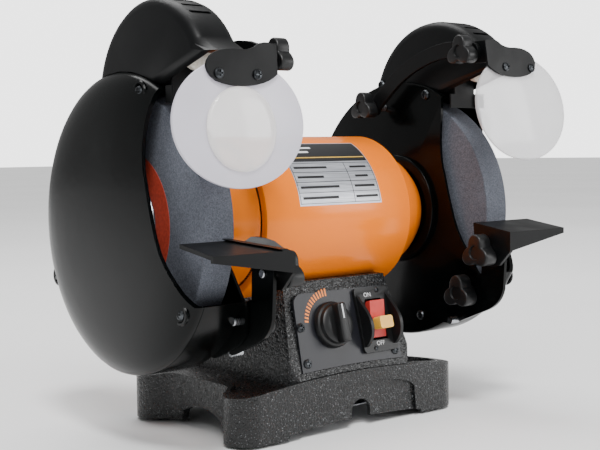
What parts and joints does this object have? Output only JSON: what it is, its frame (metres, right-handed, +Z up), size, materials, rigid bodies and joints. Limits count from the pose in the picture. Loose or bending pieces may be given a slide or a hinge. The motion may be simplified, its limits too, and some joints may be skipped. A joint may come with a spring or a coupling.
{
  "type": "bench grinder",
  "caption": "Bench grinder with guarded wheels, work lights, eye shields, adjustable tool rests and a speed dial on a cast base.",
  "frame": {"origin": "centre of the bottom of the bounding box, on the bench", "axes": "+X along the shaft to the right hand wheel, -Y to the person who grinds, +Z up"},
  "size_m": [0.4, 0.2576, 0.3345],
  "materials": {
    "hammered_casting": "textured hammer paint on an aluminium or iron casting",
    "zinc_plate": "zinc plated sheet",
    "rubber": "moulded rubber",
    "panel_paint": "satin blue grey paint",
    "black_plastic": "moulded black plastic",
    "circuit_board": "green board",
    "red_plastic": "moulded red plastic",
    "yellow_plastic": "moulded yellow plastic",
    "orange_enamel": "gloss orange enamel",
    "electrical_steel": "stacked laminations",
    "copper_winding": "varnished copper wire",
    "turned_steel": "turned steel",
    "abrasive_stone": "vitrified aluminium oxide grit",
    "gloss_black_paint": "gloss black enamel",
    "satin_black_paint": "satin black powder coat",
    "clear_plastic": "clear polycarbonate",
    "bulb_glass": "frosted lamp glass"
  },
  "bodies": {
    "frame": {"base_casting": "hammered_casting", "base_cover": "zinc_plate", "foot_front_left": "rubber", "foot_front_right": "rubber", "foot_rear_left": "rubber", "foot_rear_right": "rubber", "cord_gland": "rubber", "control_panel": "panel_paint", "speed_potentiometer": "zinc_plate", "speed_control_board": "circuit_board", "switch_housing": "black_plastic", "motor_drum": "orange_enamel", "stator_core": "electrical_steel", "stator_winding": "copper_winding", "end_bell_left": "orange_enamel", "bearing_left": "turned_steel", "guard_shell_left": "gloss_black_paint", "guard_cover_left": "gloss_black_paint", "lamp_housing_left": "satin_black_paint", "lamp_bulb_left": "bulb_glass", "end_bell_right": "orange_enamel", "bearing_right": "turned_steel", "guard_shell_right": "gloss_black_paint", "guard_cover_right": "gloss_black_paint", "lamp_housing_right": "satin_black_paint", "lamp_bulb_right": "bulb_glass"},
    "spindle": {"motor_shaft": "turned_steel", "rotor": "electrical_steel", "wheel_left": "abrasive_stone", "inner_flange_left": "turned_steel", "outer_flange_left": "turned_steel", "spindle_nut_left": "turned_steel", "wheel_right": "abrasive_stone", "inner_flange_right": "turned_steel", "outer_flange_right": "turned_steel", "spindle_nut_right": "turned_steel"},
    "speed_knob": {"speed_knob": "black_plastic"},
    "switch_paddle": {"switch_paddle": "red_plastic"},
    "safety_key": {"safety_key": "yellow_plastic"},
    "rest_bracket_left": {"rest_bracket_left": "gloss_black_paint"},
    "tool_rest_left": {"tool_rest_left": "satin_black_paint"},
    "rest_knob_left": {"rest_knob_left": "black_plastic"},
    "bracket_knob_left": {"bracket_knob_left": "black_plastic"},
    "arm_knob_left": {"arm_knob_left": "black_plastic"},
    "shield_arm_left": {"shield_arm_left": "satin_black_paint"},
    "shield_knob_left": {"shield_knob_left": "black_plastic"},
    "eye_shield_left": {"shield_bracket_left": "satin_black_paint", "shield_lens_left": "clear_plastic", "magnifier": "clear_plastic"},
    "spark_arrester_left": {"spark_arrester_left": "satin_black_paint"},
    "rest_bracket_right": {"rest_bracket_right": "gloss_black_paint"},
    "tool_rest_right": {"tool_rest_right": "satin_black_paint"},
    "rest_knob_right": {"rest_knob_right": "black_plastic"},
    "bracket_knob_right": {"bracket_knob_right": "black_plastic"},
    "arm_knob_right": {"arm_knob_right": "black_plastic"},
    "shield_arm_right": {"shield_arm_right": "satin_black_paint"},
    "shield_knob_right": {"shield_knob_right": "black_plastic"},
    "eye_shield_right": {"shield_bracket_right": "satin_black_paint", "shield_lens_right": "clear_plastic"},
    "spark_arrester_right": {"spark_arrester_right": "satin_black_paint"}
  },
  "joints": [
    {"name": "spindle_spin", "type": "hinge", "parent": "frame", "child": "spindle", "pos_m": [0, 0.0142, 0.169], "axis": [1, 0, 0], "continuous": true},
    {"name": "speed_turn", "type": "hinge", "parent": "frame", "child": "speed_knob", "pos_m": [-0.0155, -0.05841, 0.08514], "axis": [0, -0.9651, 0.2619], "range_deg": [-135, 135]},
    {"name": "switch_rock", "type": "hinge", "parent": "frame", "child": "switch_paddle", "pos_m": [0.03, -0.0527, 0.08328], "axis": [1, 0, 0], "range_deg": [-12, 0]},
    {"name": "key_pull", "type": "slide", "parent": "switch_paddle", "child": "safety_key", "axis": [0, -0.9651, 0.2619], "range_m": [0, 0.01]},
    {"name": "bracket_slide_left", "type": "slide", "parent": "frame", "child": "rest_bracket_left", "axis": [0, 1, 0], "range_m": [-0.012, 0]},
    {"name": "bracket_knob_turn_left", "type": "hinge", "parent": "frame", "child": "bracket_knob_left", "pos_m": [-0.108, -0.0778, 0.101], "axis": [-1, 0, 0], "range_deg": [0, 180]},
    {"name": "rest_tilt_left", "type": "hinge", "parent": "rest_bracket_left", "child": "tool_rest_left", "pos_m": [-0.113, -0.1048, 0.137], "axis": [1, 0, 0], "range_deg": [-4, 25]},
    {"name": "rest_knob_turn_left", "type": "hinge", "parent": "rest_bracket_left", "child": "rest_knob_left", "pos_m": [-0.1, -0.1048, 0.137], "axis": [-1, 0, 0], "range_deg": [0, 180]},
    {"name": "arm_knob_turn_left", "type": "hinge", "parent": "frame", "child": "arm_knob_left", "pos_m": [-0.098, 0.0292, 0.261], "axis": [-1, 0, 0], "range_deg": [0, 180]},
    {"name": "arm_swing_left", "type": "hinge", "parent": "frame", "child": "shield_arm_left", "pos_m": [-0.11, 0.0292, 0.261], "axis": [1, 0, 0], "range_deg": [-10, 1]},
    {"name": "shield_knob_turn_left", "type": "hinge", "parent": "shield_arm_left", "child": "shield_knob_left", "pos_m": [-0.098, -0.09433, 0.28966], "axis": [-1, 0, 0], "range_deg": [0, 180]},
    {"name": "shield_tilt_left", "type": "hinge", "parent": "shield_arm_left", "child": "eye_shield_left", "pos_m": [-0.11, -0.09433, 0.28966], "axis": [1, 0, 0], "range_deg": [-60, 4]},
    {"name": "arrester_slide_left", "type": "slide", "parent": "frame", "child": "spark_arrester_left", "axis": [0, 0, 1], "range_m": [-0.006, 0]},
    {"name": "bracket_slide_right", "type": "slide", "parent": "frame", "child": "rest_bracket_right", "axis": [0, 1, 0], "range_m": [-0.012, 0]},
    {"name": "bracket_knob_turn_right", "type": "hinge", "parent": "frame", "child": "bracket_knob_right", "pos_m": [0.108, -0.0778, 0.101], "axis": [1, 0, 0], "range_deg": [0, 180]},
    {"name": "rest_tilt_right", "type": "hinge", "parent": "rest_bracket_right", "child": "tool_rest_right", "pos_m": [0.113, -0.1048, 0.137], "axis": [1, 0, 0], "range_deg": [-4, 25]},
    {"name": "rest_knob_turn_right", "type": "hinge", "parent": "rest_bracket_right", "child": "rest_knob_right", "pos_m": [0.1, -0.1048, 0.137], "axis": [1, 0, 0], "range_deg": [0, 180]},
    {"name": "arm_knob_turn_right", "type": "hinge", "parent": "frame", "child": "arm_knob_right", "pos_m": [0.098, 0.0292, 0.261], "axis": [1, 0, 0], "range_deg": [0, 180]},
    {"name": "arm_swing_right", "type": "hinge", "parent": "frame", "child": "shield_arm_right", "pos_m": [0.11, 0.0292, 0.261], "axis": [1, 0, 0], "range_deg": [-5, 6]},
    {"name": "shield_knob_turn_right", "type": "hinge", "parent": "shield_arm_right", "child": "shield_knob_right", "pos_m": [0.098, -0.0908, 0.302], "axis": [1, 0, 0], "range_deg": [0, 180]},
    {"name": "shield_tilt_right", "type": "hinge", "parent": "shield_arm_right", "child": "eye_shield_right", "pos_m": [0.11, -0.0908, 0.302], "axis": [1, 0, 0], "range_deg": [-60, 4]},
    {"name": "arrester_slide_right", "type": "slide", "parent": "frame", "child": "spark_arrester_right", "axis": [0, 0, 1], "range_m": [-0.006, 0]}
  ]
}
